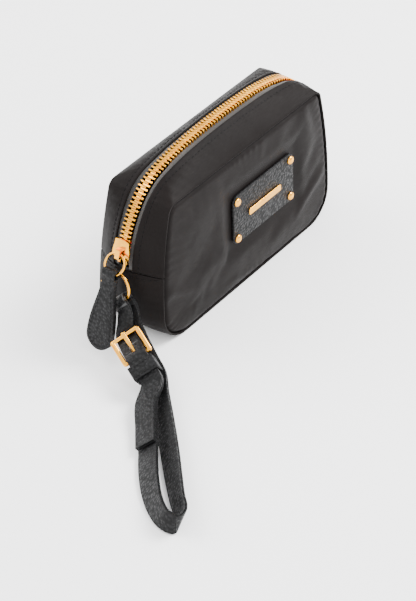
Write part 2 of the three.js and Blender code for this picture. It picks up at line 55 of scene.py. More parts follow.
def setCamera():
    camera = bpy.data.objects.new("camera", bpy.data.cameras.new("camera"))
    bpy.context.scene.collection.objects.link(camera)
    camera.location = (-0.8302, -0.6305, 0.8450)
    camera.rotation_euler = (math.radians(50), 0, math.radians(-52.5))
    camera.data.lens = 137.8
    camera.data.sensor_width = 36
    camera.data.clip_start = 0.05
    bpy.context.scene.camera = camera


studio = {
    "sky": 2.15,
    "key": {"place": (0.75, -0.55, 1.1), "size": 0.7, "power": 46},
    "fill": {"place": (-1.0, -0.9, 0.9), "size": 1.6, "power": 14},
    "rim": {"place": (-0.4, 1.0, 0.9), "size": 0.9, "power": 18},
    "floor": (0.95, 0.95, 0.955, 1),
}


def setLights():
    world = bpy.data.worlds.new("studioWorld")
    bpy.context.scene.world = world
    world.use_nodes = True
    sky = world.node_tree.nodes["Background"]
    sky.inputs["Color"].default_value = (1, 1, 1, 1)
    sky.inputs["Strength"].default_value = studio["sky"]
    for name in ("key", "fill", "rim"):
        lamp = bpy.data.lights.new(name, "AREA")
        lamp.size = studio[name]["size"]
        lamp.energy = studio[name]["power"]
        holder = bpy.data.objects.new(name, lamp)
        bpy.context.scene.collection.objects.link(holder)
        holder.location = studio[name]["place"]
        aim = Vector((0, 0, 0.04)) - holder.location
        holder.rotation_euler = aim.to_track_quat("-Z", "Y").to_euler()


print("camera and lights")
setCamera()
setLights()


# materials

def newMaterial(name, **sockets):
    made = bpy.data.materials.new(name)
    made.use_nodes = True
    shader = made.node_tree.nodes["Principled BSDF"]
    for key, value in sockets.items():
        shader.inputs[key.replace("_", " ")].default_value = value
    return made, made.node_tree, shader


def addNode(tree, kind, **values):
    node = tree.nodes.new(kind)
    for key, value in values.items():
        if key in node.inputs:
            node.inputs[key].default_value = value
        else:
            setattr(node, key, value)
    return node


def coordinates(tree, kind="Object", turn=(0, 0, 0), stretch=(1, 1, 1)):
    source = addNode(tree, "ShaderNodeTexCoord")
    mapping = addNode(tree, "ShaderNodeMapping", Rotation=turn, Scale=stretch)
    tree.links.new(source.outputs[kind], mapping.inputs["Vector"])
    return mapping.outputs["Vector"]


def ramp(tree, source, low, high, dark, light):
    node = addNode(tree, "ShaderNodeValToRGB")
    first, second = node.color_ramp.elements
    first.position, first.color = low, dark
    second.position, second.color = high, light
    tree.links.new(source, node.inputs["Fac"])
    return node.outputs["Color"]


def noiseAt(tree, vector, scale, detail=3, roughness=0.5):
    node = addNode(tree, "ShaderNodeTexNoise", Scale=scale, Detail=detail, Roughness=roughness)
    tree.links.new(vector, node.inputs["Vector"])
    return node.outputs["Fac"]


def waveAt(tree, vector, scale, distortion=0.0):
    node = addNode(tree, "ShaderNodeTexWave", Scale=scale, Distortion=distortion, Detail=1.0)
    tree.links.new(vector, node.inputs["Vector"])
    return node.outputs["Fac"]


def bump(tree, heights, shader, target="Normal"):
    # each height is (socket, distance in metres, strength)
    last = None
    for socket, distance, strength in heights:
        node = addNode(tree, "ShaderNodeBump", Strength=strength, Distance=distance)
        tree.links.new(socket, node.inputs["Height"])
        if last:
            tree.links.new(last, node.inputs["Normal"])
        last = node.outputs["Normal"]
    tree.links.new(last, shader.inputs[target])


def fabricMaterial():
    made, tree, shader = newMaterial("blackNylonTwill", Roughness=0.6, Sheen_Weight=0.02, Sheen_Roughness=0.4)
    shader.inputs["Specular IOR Level"].default_value = 0.06
    onCloth = coordinates(tree, "UV", turn=(0, 0, math.radians(45)))
    straight = coordinates(tree, "UV")
    twill = waveAt(tree, onCloth, 520)
    warp = waveAt(tree, straight, 900)
    inSpace = coordinates(tree)
    cloudy = noiseAt(tree, inSpace, 26, 4)
    slub = noiseAt(tree, coordinates(tree, "UV", stretch=(1, 9, 1)), 210, 3)
    tint = ramp(tree, cloudy, 0.3, 0.75, (0.0036, 0.0026, 0.0024, 1), (0.0064, 0.0049, 0.0046, 1))
    tree.links.new(tint, shader.inputs["Base Color"])
    shine = ramp(tree, slub, 0.25, 0.8, (0.48, 0.48, 0.48, 1), (0.64, 0.64, 0.64, 1))
    tree.links.new(shine, shader.inputs["Roughness"])
    bump(tree, [(twill, 0.00008, 0.35), (warp, 0.00004, 0.25), (slub, 0.00006, 0.3), (cloudy, 0.0007, 0.25)], shader)
    return made


def liningMaterial():
    made, tree, shader = newMaterial("liningCloth", Roughness=0.8, Sheen_Weight=0.2)
    inSpace = coordinates(tree)
    weave = waveAt(tree, inSpace, 900, 0.6)
    patches = noiseAt(tree, inSpace, 60)
    tint = ramp(tree, patches, 0.3, 0.7, (0.012, 0.012, 0.012, 1), (0.024, 0.022, 0.022, 1))
    tree.links.new(tint, shader.inputs["Base Color"])
    bump(tree, [(weave, 0.0001, 0.5)], shader)
    return made


def tapeMaterial():
    made, tree, shader = newMaterial("herringboneTape", Roughness=0.8, Sheen_Weight=0.3)
    left = waveAt(tree, coordinates(tree, "Object", turn=(0, 0, math.radians(40))), 620)
    right = waveAt(tree, coordinates(tree, "Object", turn=(0, 0, math.radians(-40))), 620)
    ribs = waveAt(tree, coordinates(tree, "Object", turn=(0, 0, math.radians(90))), 190)
    choose = addNode(tree, "ShaderNodeMix", data_type="FLOAT")
    tree.links.new(ribs, choose.inputs[0])
    tree.links.new(left, choose.inputs[2])
    tree.links.new(right, choose.inputs[3])
    tint = ramp(tree, choose.outputs[0], 0.2, 0.8, (0.005, 0.0046, 0.0045, 1), (0.017, 0.016, 0.0155, 1))
    tree.links.new(tint, shader.inputs["Base Color"])
    bump(tree, [(choose.outputs[0], 0.00015, 0.8)], shader)
    return made


def leatherMaterial():
    made, tree, shader = newMaterial("pebbledLeather", Roughness=0.5)
    shader.inputs["Specular IOR Level"].default_value = 0.17
    inSpace = coordinates(tree)
    warped = addNode(tree, "ShaderNodeMix", data_type="VECTOR")
    warped.inputs[0].default_value = 0.0012
    wobble = addNode(tree, "ShaderNodeTexNoise", Scale=700)
    tree.links.new(inSpace, wobble.inputs["Vector"])
    tree.links.new(inSpace, warped.inputs[4])
    tree.links.new(wobble.outputs["Color"], warped.inputs[5])
    cells = addNode(tree, "ShaderNodeTexVoronoi", feature="SMOOTH_F1", Scale=620, Smoothness=0.35)
    tree.links.new(warped.outputs[1], cells.inputs["Vector"])
    pebble = addNode(tree, "ShaderNodeMath", operation="SUBTRACT")
    pebble.inputs[0].default_value = 1.0
    tree.links.new(cells.outputs["Distance"], pebble.inputs[1])
    pores = noiseAt(tree, inSpace, 4200, 2)
    patches = noiseAt(tree, inSpace, 70, 4)
    grain = ramp(tree, pebble.outputs[0], 0.35, 0.8, (0.0008, 0.0008, 0.0009, 1), (0.0056, 0.0056, 0.0061, 1))
    wear = ramp(tree, patches, 0.35, 0.75, (0.85, 0.85, 0.85, 1), (1.25, 1.25, 1.25, 1))
    shade = addNode(tree, "ShaderNodeMix", data_type="RGBA", blend_type="MULTIPLY")
    shade.inputs[0].default_value = 1.0
    tree.links.new(grain, shade.inputs[6])
    tree.links.new(wear, shade.inputs[7])
    tree.links.new(shade.outputs[2], shader.inputs["Base Color"])
    gloss = ramp(tree, pebble.outputs[0], 0.3, 0.9, (0.62, 0.62, 0.62, 1), (0.3, 0.3, 0.3, 1))
    tree.links.new(gloss, shader.inputs["Roughness"])
    bump(tree, [(pebble.outputs[0], 0.0005, 0.75), (pores, 0.00008, 0.4)], shader)
    return made


def edgeMaterial():
    made, tree, shader = newMaterial("paintedEdge", Roughness=0.42)
    streaks = noiseAt(tree, coordinates(tree), 340, 3)
    tint = ramp(tree, streaks, 0.3, 0.8, (0.006, 0.006, 0.0065, 1), (0.014, 0.014, 0.015, 1))
    tree.links.new(tint, shader.inputs["Base Color"])
    bump(tree, [(streaks, 0.00012, 0.5)], shader)
    return made


def goldMaterial():
    made, tree, shader = newMaterial("polishedGold", Metallic=1.0, Roughness=0.2)
    inSpace = coordinates(tree)
    smears = noiseAt(tree, inSpace, 260, 4)
    pits = noiseAt(tree, inSpace, 1500, 2)
    tint = ramp(tree, smears, 0.3, 0.75, (0.8, 0.34, 0.022, 1), (0.95, 0.48, 0.05, 1))
    tree.links.new(tint, shader.inputs["Base Color"])
    shine = ramp(tree, smears, 0.3, 0.8, (0.14, 0.14, 0.14, 1), (0.3, 0.3, 0.3, 1))
    tree.links.new(shine, shader.inputs["Roughness"])
    bump(tree, [(pits, 0.00005, 0.2)], shader)
    return made


def threadMaterial():
    made, tree, shader = newMaterial("sewingThread", Roughness=0.7, Sheen_Weight=0.02)
    shader.inputs["Specular IOR Level"].default_value = 0.08
    twist = waveAt(tree, coordinates(tree, "Object", turn=(0.5, 0.6, 0.8)), 1400)
    tint = ramp(tree, twist, 0.2, 0.9, (0.001, 0.001, 0.001, 1), (0.004, 0.004, 0.004, 1))
    tree.links.new(tint, shader.inputs["Base Color"])
    bump(tree, [(twist, 0.00005, 0.6)], shader)
    return made


def floorMaterial():
    made, _, shader = newMaterial("paleFloor", Roughness=0.9)
    shader.inputs["Base Color"].default_value = studio["floor"]
    shader.inputs["Specular IOR Level"].default_value = 0.1
    return made


print("materials")
fabric = fabricMaterial()
liningCloth = liningMaterial()
tapeCloth = tapeMaterial()
leather = leatherMaterial()
edgePaint = edgeMaterial()
gold = goldMaterial()
thread = threadMaterial()


# working habits: every step starts with nothing selected

def takeUp(piece):
    if bpy.context.object and bpy.context.object.mode != "OBJECT":
        bpy.ops.object.mode_set(mode="OBJECT")
    bpy.ops.object.select_all(action="DESELECT")
    piece.select_set(True)
    bpy.context.view_layer.objects.active = piece


def freshPrimitive(adder, **where):
    bpy.ops.object.select_all(action="DESELECT")
    adder(**where)
    return bpy.context.object


def applyAll(piece):
    takeUp(piece)
    for modifier in list(piece.modifiers):
        bpy.ops.object.modifier_apply(modifier=modifier.name)


def settle(piece):
    takeUp(piece)
    bpy.ops.object.transform_apply(location=True, rotation=True, scale=True)


def bevelEdges(piece, width, segments=2, limit=35):
    step = piece.modifiers.new("softEdges", "BEVEL")
    step.width = width
    step.segments = segments
    step.limit_method = "ANGLE"
    step.angle_limit = math.radians(limit)
    step.harden_normals = False
    applyAll(piece)


def smoothOver(piece, angle=40):
    takeUp(piece)
    bpy.ops.object.shade_smooth_by_angle(angle=math.radians(angle))


def finishPiece(piece, name, body, slotName, materials, *nodes):
    piece.name = name
    piece.data.name = name
    piece.data.materials.clear()
    for material in materials:
        piece.data.materials.append(material)
    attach(piece, body)
    if nodes:
        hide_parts(*nodes)
    return piece


def copyOfNode(node, name):
    source = frame["nodes"][node]
    piece = bpy.data.objects.new(name, source.data.copy())
    bpy.context.scene.collection.objects.link(piece)
    takeUp(piece)
    bpy.ops.object.mode_set(mode="EDIT")
    bpy.ops.mesh.select_all(action="SELECT")
    bpy.ops.mesh.remove_doubles(threshold=0.002 * mm)
    bpy.ops.mesh.tris_convert_to_quads(face_threshold=math.radians(30), shape_threshold=math.radians(40))
    bpy.ops.mesh.normals_make_consistent(inside=False)
    bpy.ops.object.mode_set(mode="OBJECT")
    return piece


def fadeIn(value, low, high):
    share = min(max((value - low) / (high - low), 0), 1)
    return share * share * (3 - 2 * share)


# the body: two flat panels and a gusset all round

body = {
    "lean": math.radians(2),
    "halfDepth": 24 * mm,
    "middle": (-1 * mm, 46 * mm),
    "grid": (132, 88),
    "rollOver": 3.0 * mm,
    "rollDepth": 1.9 * mm,
    "thickness": 0.8 * mm,
    "puff": 1.5 * mm,
    "puckerPitch": 5.5 * mm,
    "pucker": 0.22 * mm,
    "puckerFade": 6 * mm,
    "unevenness": 0.5 * mm,
    "plate": (12 * mm, 50 * mm, 29.5 * mm, 17.5 * mm),
}

# soft creases: start and end as (x, z), height and width in millimetres
frontFolds = [
    ((-75, 36), (-57, 28), 0.9, 3.2),
    ((-66, 20), (-40, 12), -0.7, 6.0),
    ((-45, 35), (-22, 30), 0.6, 5.0),
    ((-20, 9), (2, 4), 0.8, 3.6),
    ((73, 36), (48, 23), 1.2, 3.6),
    ((50, 22), (16, 15), 0.8, 5.0),
    ((66, 60), (54, 40), -0.6, 5.0),
    ((57, 90), (64, 70), -0.8, 3.4),
    ((-62, 84), (-40, 66), 0.5, 7.0),
]
backFolds = [
    ((-70, 30), (-44, 22), 1.0, 4.0),
    ((68, 34), (40, 20), 0.9, 4.4),
    ((-20, 12), (18, 8), 0.7, 4.0),
    ((52, 84), (66, 62), -0.8, 4.0),
    ((-10, 60), (22, 48), -0.5, 8.0),
]


def outlineOf(node):
    middle = Vector(body["middle"])
    rim = []
    for vertex in frame["nodes"][node].data.vertices:
        arm = Vector((vertex.co.x, vertex.co.z)) - middle
        rim.append((math.atan2(arm.y, arm.x), arm.length))
    rim.sort()
    return rim


def radiusAt(rim, angle):
    low, high = 0, len(rim) - 1
    if angle <= rim[0][0] or angle >= rim[-1][0]:
        before, after = rim[-1], rim[0]
        gap = after[0] + 2 * math.pi - before[0]
        step = (angle - before[0]) % (2 * math.pi)
    else:
        while high - low > 1:
            half = (low + high) // 2
            if rim[half][0] <= angle:
                low = half
            else:
                high = half
        before, after = rim[low], rim[high]
        gap = after[0] - before[0]
        step = angle - before[0]
    share = step / gap if gap > 1e-9 else 0
    # straight between two points of the rim
    turn = gap * share
    area = before[1] * after[1] * math.sin(gap)
    base = before[1] * math.sin(turn) + after[1] * math.sin(gap - turn)
    return area / base if base > 1e-12 else before[1]


def foldHeight(folds, x, z):
    height = 0
    for (x0, z0), (x1, z1), lift, width in folds:
        along = Vector(((x1 - x0) * mm, (z1 - z0) * mm))
        arm = Vector((x - x0 * mm, z - z0 * mm))
        share = arm.dot(along) / along.length_squared
        across = (arm.x * along.y - arm.y * along.x) / along.length
        ends = fadeIn(share, -0.25, 0.3) * fadeIn(1 - share, -0.35, 0.45)
        near = math.exp(-(across / (width * mm)) ** 2)
        beside = math.exp(-((across - 1.7 * width * mm) / (1.2 * width * mm)) ** 2)
        height += lift * mm * ends * (near - 0.55 * beside)
    return height


def underPlate(x, z):
    px, pz, halfWidth, halfHeight = body["plate"]
    far = max(abs(x - px) - halfWidth, abs(z - pz) - halfHeight)
    return fadeIn(far, 0, 9 * mm)


def panelMesh(node, side, folds):
    rim = outlineOf(node)
    columns, rows = body["grid"]
    piece = freshPrimitive(bpy.ops.mesh.primitive_grid_add, x_subdivisions=columns, y_subdivisions=rows, size=2)
    middleX, middleZ = body["middle"]
    top = math.tan(body["lean"])
    uv = piece.data.uv_layers.new(name="cloth") if not piece.data.uv_layers else piece.data.uv_layers[0]
    flat = {}
    for vertex in piece.data.vertices:
        s, t = vertex.co.x, vertex.co.y
        share = max(abs(s), abs(t))
        angle = math.atan2(t * 46, s * 76)
        radius = radiusAt(rim, angle)
        x = middleX + share * radius * math.cos(angle)
        z = middleZ + share * radius * math.sin(angle)
        inset = (1 - share) * radius
        free = underPlate(x, z) if side < 0 else 1
        out = body["puff"] * free * (1 - share ** 4)
        out += foldHeight(folds, x, z) * free * fadeIn(inset, 0, 6 * mm)
        ripple = math.sin(angle * radius / body["puckerPitch"] * 2 * math.pi + 1.3 * math.sin(angle * 9))
        out += body["pucker"] * ripple * math.exp(-inset / body["puckerFade"]) * fadeIn(inset, 0, 1.6 * mm)
        out += body["unevenness"] * free * noise.noise(Vector((x, z, side)) * 38) * fadeIn(inset, 0, 9 * mm)
        roll = max(0, 1 - inset / body["rollOver"])
        out -= body["rollDepth"] * (1 - math.sqrt(max(0, 1 - roll * roll)))
        face = body["halfDepth"] - z * top
        vertex.co = Vector((x, side * (face + out), z))
        flat[vertex.index] = (x, z)
    for loop in piece.data.loops:
        uv.data[loop.index].uv = flat[loop.vertex_index]
    takeUp(piece)
    bpy.ops.object.mode_set(mode="EDIT")
    bpy.ops.mesh.select_all(action="SELECT")
    bpy.ops.mesh.remove_doubles(threshold=0.01 * mm)
    bpy.ops.object.mode_set(mode="OBJECT")
    if piece.data.polygons[0].normal.y * side < 0:
        piece.data.flip_normals()
    return piece


cloth = {
    "frames": 10, "stretch": -0.003, "cap": 0.45 * mm,
    "mass": 0.12, "gravity": 0.0, "smoothing": 12,
}


def relaxCloth(piece, side):
    # let the panel slacken a little between its seams
    held = piece.vertex_groups.new(name="sewn")
    start = []
    middleX, middleZ = body["middle"]
    rim = outlineOf("front_panel" if side < 0 else "back_panel")
    for vertex in piece.data.vertices:
        start.append(vertex.co.copy())
        arm = Vector((vertex.co.x - middleX, vertex.co.z - middleZ))
        edge = radiusAt(rim, math.atan2(arm.y, arm.x)) - arm.length
        hold = 1 - fadeIn(edge, 2 * mm, 7 * mm)
        if side < 0:
            hold = max(hold, 1 - underPlate(vertex.co.x, vertex.co.z))
        held.add([vertex.index], hold, "REPLACE")
    step = piece.modifiers.new("slack", "CLOTH")
    settings = step.settings
    settings.quality = 6
    settings.mass = cloth["mass"]
    settings.tension_stiffness = 12
    settings.compression_stiffness = 12
    settings.shear_stiffness = 4
    settings.bending_stiffness = 0.35
    settings.shrink_min = cloth["stretch"]
    settings.vertex_group_mass = "sewn"
    settings.use_pressure = False
    settings.effector_weights.gravity = cloth["gravity"]
    step.collision_settings.use_collision = False
    step.point_cache.frame_start = 1
    step.point_cache.frame_end = cloth["frames"]
    scene = bpy.context.scene
    for number in range(1, cloth["frames"] + 1):
        scene.frame_set(number)
    applyAll(piece)
    scene.frame_set(1)
    for vertex, old in zip(piece.data.vertices, start):
        move = vertex.co - old
        if move.length > cloth["cap"]:
            vertex.co = old + move * (cloth["cap"] / move.length)
    # the seams stay put and the creases soften
    soften = piece.modifiers.new("soften", "SMOOTH")
    soften.factor = 0.5
    soften.iterations = cloth["smoothing"]
    soften.vertex_group = "sewn"
    soften.invert_vertex_group = True
    applyAll(piece)
    piece.vertex_groups.clear()


def thicken(piece, thickness):
    step = piece.modifiers.new("thickness", "SOLIDIFY")
    step.thickness = thickness
    step.offset = -1
    step.use_rim = True
    applyAll(piece)


def makePanel(name, side, folds):
    piece = panelMesh(name, side, folds)
    relaxCloth(piece, side)
    thicken(piece, body["thickness"])
    smoothOver(piece, 60)
    finishPiece(piece, name + "_cloth", "pouch", "shell_fabric", [fabric], name)
    return piece


gusset = {
    "cuts": 2,
    "stitchFrom": 9.6 * mm,
    "groove": 0.28 * mm,
    "puckerPitch": 5 * mm,
    "pucker": 0.2 * mm,
    "unevenness": 0.55 * mm,
    "stitchPitch": 2.9 * mm,
    "crossSeam": 49 * mm,
    "centre": (0, 48 * mm),
}


def perimeterShare(x, z):
    cx, cz = gusset["centre"]
    return math.atan2(z - cz, x - cx) * 78 * mm


def makeGusset(node):
    piece = copyOfNode(node, node + "_cloth")
    bevelEdges(piece, 0.35 * mm, 2, 50)
    takeUp(piece)
    bpy.ops.object.mode_set(mode="EDIT")
    bpy.ops.mesh.select_all(action="SELECT")
    bpy.ops.mesh.subdivide(number_cuts=gusset["cuts"], smoothness=0)
    bpy.ops.object.mode_set(mode="OBJECT")
    normals = [vertex.normal.copy() for vertex in piece.data.vertices]
    zippered = node != "bottom_gusset"
    for vertex, normal in zip(piece.data.vertices, normals):
        x, y, z = vertex.co
        arm = Vector((x - gusset["centre"][0], 0, z - gusset["centre"][1])).normalized()
        if z < 1.4 * mm or normal.dot(arm) < 0.2:
            continue
        s = perimeterShare(x, z)
        half = body["halfDepth"] - z * math.tan(body["lean"])
        inset = half - abs(y)
        move = gusset["unevenness"] * noise.noise(Vector((s, y * 1.6, 3.1)) * 46) * fadeIn(inset, 0, 5 * mm)
        ripple = math.sin(s / gusset["puckerPitch"] * 2 * math.pi + 2 * math.sin(s * 60))
        move += gusset["pucker"] * ripple * math.exp(-inset / (4.5 * mm)) * fadeIn(inset, 0.4 * mm, 2 * mm)
        if zippered:
            off = abs(y) - gusset["stitchFrom"]
            move *= fadeIn(abs(y), 6.5 * mm, 11 * mm)
            wave = 0.65 + 0.35 * math.cos(s / gusset["stitchPitch"] * 2 * math.pi)
            move -= gusset["groove"] * wave * math.exp(-(off / (0.8 * mm)) ** 2)
            move += 0.16 * mm * ripple * math.exp(-((off - 2.2 * mm) / (2.4 * mm)) ** 2)
        else:
            move *= fadeIn(z, 1.4 * mm, 8 * mm)
        vertex.co = vertex.co + normal * move
    uv = piece.data.uv_layers.new(name="cloth") if not piece.data.uv_layers else piece.data.uv_layers[0]
    for loop in piece.data.loops:
        x, y, z = piece.data.vertices[loop.vertex_index].co
        uv.data[loop.index].uv = (perimeterShare(x, z), y)
    smoothOver(piece, 50)
    return finishPiece(piece, node + "_cloth", "pouch", "shell_fabric", [fabric], node)


print("panels")
frontCloth = makePanel("front_panel", -1, frontFolds)
backCloth = makePanel("back_panel", 1, backFolds)
print("gussets")
gussets = [makeGusset(node) for node in ("zipper_gusset_front", "zipper_gusset_back", "bottom_gusset")]


# stitches: one bead of thread, copied along a line of places

def surfaceOf(pieces):
    whole = bmesh.new()
    for piece in pieces:
        whole.from_mesh(piece.data)
    tree = BVHTree.FromBMesh(whole)
    whole.free()
    return tree


def stitchRow(name, places, length, radius, bodyName, slotName="shell_fabric"):
    # places are (point, direction, normal)
    bead = freshPrimitive(bpy.ops.mesh.primitive_uv_sphere_add, segments=8, ring_count=6, radius=1)
    bead.scale = (length / 2, radius, radius * 0.8)
    settle(bead)
    row = bmesh.new()
    for point, direction, normal in places:
        side = normal.cross(direction).normalized()
        ahead = side.cross(normal).normalized()
        turn = Matrix((ahead, side, normal)).transposed().to_4x4()
        turn.translation = point
        copy = bead.data.copy()
        copy.transform(turn)
        row.from_mesh(copy)
        bpy.data.meshes.remove(copy)
    row.to_mesh(bead.data)
    row.free()
    smoothOver(bead, 60)
    return finishPiece(bead, name, bodyName, slotName, [thread])


def walkEvenly(points, pitch, start=0.0):
    # evenly spaced places on a list of points, with the direction at each
    places = []
    due = start
    travelled = 0.0
    for a, b in zip(points, points[1:]):
        leg = (b - a).length
        while due <= travelled + leg and leg > 0:
            places.append((a.lerp(b, (due - travelled) / leg), (b - a).normalized()))
            due += pitch
        travelled += leg
    return places


def onArch(skin, y, fromAngle, toAngle, steps=220):
    cx, cz = gusset["centre"]
    centre = Vector((cx, y, cz))
    points = []
    for i in range(steps + 1):
        angle = fromAngle + (toAngle - fromAngle) * i / steps
        arm = Vector((math.cos(angle), 0, math.sin(angle)))
        hit = skin.ray_cast(centre + arm * 0.16, -arm)[0]
        if hit is not None:
            points.append(hit)
    return points


def archStitches(name, y):
    skin = surfaceOf(gussets)
    points = onArch(skin, y, math.radians(3), math.radians(177))
    places = []
    for point, direction in walkEvenly(points, gusset["stitchPitch"], 0.8 * mm):
        _, normal, _, _ = skin.find_nearest(point)
        places.append((point + normal * 0.05 * mm, direction, normal))
    return stitchRow(name, places, 2.1 * mm, 0.26 * mm, "pouch")


def crossStitches(name, sign):
    skin = surfaceOf(gussets)
    z = gusset["crossSeam"] - 2.6 * mm
    places = []
    for i in range(-6, 7):
        y = i * 3.1 * mm
        if sign < 0 and abs(y) < 4 * mm:
            continue
        hit, normal, _, _ = skin.ray_cast(Vector((sign * 0.16, y, z)), Vector((-sign, 0, 0)))
        if hit is not None:
            places.append((hit + normal * 0.05 * mm, Vector((0, 1, 0)), normal))
    return stitchRow(name, places, 2.2 * mm, 0.25 * mm, "pouch")


print("stitches")
archStitches("zipper_stitches_front", -gusset["stitchFrom"])
archStitches("zipper_stitches_back", gusset["stitchFrom"])
crossStitches("end_stitches_left", -1)
crossStitches("end_stitches_right", 1)


# zipper: tape with its inner edge drawn in to the teeth, and one tooth copied along both rows

zipper = {
    "toothHeight": 2.7 * mm, "toothLength": 1.15 * mm,
    "inner": 2.3 * mm, "root": 3.5 * mm, "tip": -1.35 * mm,
}


def makeTape(node, side):
    piece = copyOfNode(node, node + "_woven")
    low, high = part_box(node)
    inner = min(abs(low.y), abs(high.y))
    for vertex in piece.data.vertices:
        if abs(vertex.co.y) < inner + 0.3 * mm:
            vertex.co.y = side * zipper["inner"]
    bevelEdges(piece, 0.12 * mm, 1, 50)
    smoothOver(piece, 40)
    return finishPiece(piece, node + "_woven", "pouch", "zipper_tape", [tapeCloth], node)


def toothPlaces(node, side):
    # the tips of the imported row's teeth, four corners each, from one end to the other
    tips = []
    for vertex in frame["nodes"][node].data.vertices:
        if -side * vertex.co.y > 1.0 * mm:
            tips.append(vertex.co.copy())
    unique = {(round(v.x, 6), round(v.z, 6)): v for v in tips}
    ordered = sorted(unique.values(), key=lambda v: math.atan2(v.z - 45 * mm, v.x))
    groups = [ordered[i:i + 4] for i in range(0, len(ordered) - 3, 4)]
    return [sum(group, Vector()) / 4 for group in groups]


def makeTooth():
    tooth = freshPrimitive(bpy.ops.mesh.primitive_cube_add, size=1)
    reach = zipper["root"] - zipper["tip"]
    tooth.scale = (zipper["toothLength"], reach, zipper["toothHeight"])
    tooth.location = (0, zipper["tip"] + reach / 2, 0)
    settle(tooth)
    takeUp(tooth)
    bpy.ops.object.mode_set(mode="EDIT")
    bpy.ops.mesh.select_all(action="SELECT")
    bpy.ops.mesh.subdivide(number_cuts=1)
    bpy.ops.object.mode_set(mode="OBJECT")
    for vertex in tooth.data.vertices:
        along = (vertex.co.y - zipper["tip"]) / reach
        vertex.co.z *= 0.8 if along < 0.25 else 1.0
        vertex.co.x *= 1.0 if abs(along - 0.5) < 0.3 else 0.85
    bevelEdges(tooth, 0.16 * mm, 1, 40)
    return tooth


def makeTeeth(node, side):
    tooth = makeTooth()
    places = toothPlaces(node, side)
    row = bmesh.new()
    for i, point in enumerate(places):
        before, after = places[max(i - 1, 0)], places[min(i + 1, len(places) - 1)]
        ahead = (after - before).normalized()
        sideways = Vector((0, side, 0))
        up = ahead.cross(sideways).normalized()
        if up.dot(Vector((point.x, 0, point.z - 45 * mm))) < 0:
            up = -up
        turn = Matrix((ahead, sideways, up)).transposed().to_4x4()
        turn.translation = Vector((point.x, 0, point.z))
        copy = tooth.data.copy()
        copy.transform(turn)
        if turn.determinant() < 0:
            copy.flip_normals()
        row.from_mesh(copy)
        bpy.data.meshes.remove(copy)
    row.to_mesh(tooth.data)
    row.free()
    smoothOver(tooth, 40)
    return finishPiece(tooth, node + "_cast", "pouch", "brass", [gold], node)


print("zipper")
for node, side in (("front", -1), ("back", 1)):
    makeTape("zipper_tape_" + node, side)
    makeTeeth("zipper_teeth_" + node, side)


# hardware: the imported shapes, softened, and rings turned round

def softened(node, suffix, slotName, materials, width, segments=2, limit=40):
    piece = copyOfNode(node, node + suffix)
    takeUp(piece)
    bpy.ops.object.mode_set(mode="EDIT")
    bpy.ops.mesh.select_all(action="SELECT")
    bpy.ops.mesh.dissolve_limited(angle_limit=math.radians(2))
    bpy.ops.object.mode_set(mode="OBJECT")
    bevelEdges(piece, width, segments, limit)
    smoothOver(piece, 45)
    bodyName = next(b for b, nodes in frame["record"]["behaviour"]["bodies"].items() if node in nodes)
    return finishPiece(piece, node + suffix, bodyName, slotName, materials, node)


def ringPiece(node, radius, wire, hang, eye, bodyName):
    centre = eye + Vector((-math.cos(hang), 0, -math.sin(hang))) * radius
    piece = freshPrimitive(
        bpy.ops.mesh.primitive_torus_add, major_radius=radius, minor_radius=wire,
        major_segments=72, minor_segments=14, location=centre, rotation=(0, -hang, 0),
    )
    settle(piece)
    smoothOver(piece, 80)
    return finishPiece(piece, node + "_wire", bodyName, "brass", [gold], node)


def ringFrom(node, wire, bodyName, hang):
    low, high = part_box(node)
    radius = (high.y - low.y) / 2 - wire
    centre = (low + high) / 2
    eye = centre - Vector((-math.cos(hang), 0, -math.sin(hang))) * radius
    return ringPiece(node, radius, wire, hang, eye, bodyName)


print("hardware")
softened("zipper_slider", "_cast", "brass", [gold], 0.35 * mm, 3, 50)
for node in ("top_stop_front", "top_stop_back", "bottom_stop"):
    softened(node, "_crimped", "brass", [gold], 0.3 * mm)
ringFrom("pull_ring", 0.65 * mm, "pull_ring", math.radians(52))
ringFrom("strap_ring", 0.85 * mm, "strap_ring", math.radians(78))
softened("buckle_frame", "_cast", "brass", [gold], 0.3 * mm, 2, 30)
softened("buckle_prong", "_bent", "brass", [gold], 0.3 * mm, 2, 50)


# name plate with its domed rivets and plain bar

plate = {
    "radius": 4.5 * mm, "edge": 0.75 * mm, "thickness": 1.8 * mm,
    "centre": (12 * mm, 50 * mm), "size": (57 * mm, 33 * mm),
}


def leanOver(piece):
    piece.data.transform(Matrix.Rotation(math.radians(90) - body["lean"], 4, "X"))


def makePlate():
    width, height = plate["size"]
    piece = freshPrimitive(bpy.ops.mesh.primitive_cube_add, size=1)
    piece.scale = (width, height, plate["thickness"])
    settle(piece)
    takeUp(piece)
    mesh = bmesh.new()
    mesh.from_mesh(piece.data)
    corners = [edge for edge in mesh.edges if abs(edge.verts[0].co.z - edge.verts[1].co.z) > 1 * mm]
    bmesh.ops.bevel(mesh, geom=corners, offset=plate["radius"], segments=8, profile=0.5, affect="EDGES")
    mesh.to_mesh(piece.data)
    mesh.free()
    bevelEdges(piece, plate["edge"], 4, 50)
    leanOver(piece)
    x, z = plate["centre"]
    low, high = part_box("name_plate")
    piece.data.transform(Matrix.Translation(Vector((x, (low.y + high.y) / 2, z))))
    smoothOver(piece, 35)
    return finishPiece(piece, "name_plate_leather", "pouch", "leather", [leather, edgePaint], "name_plate")


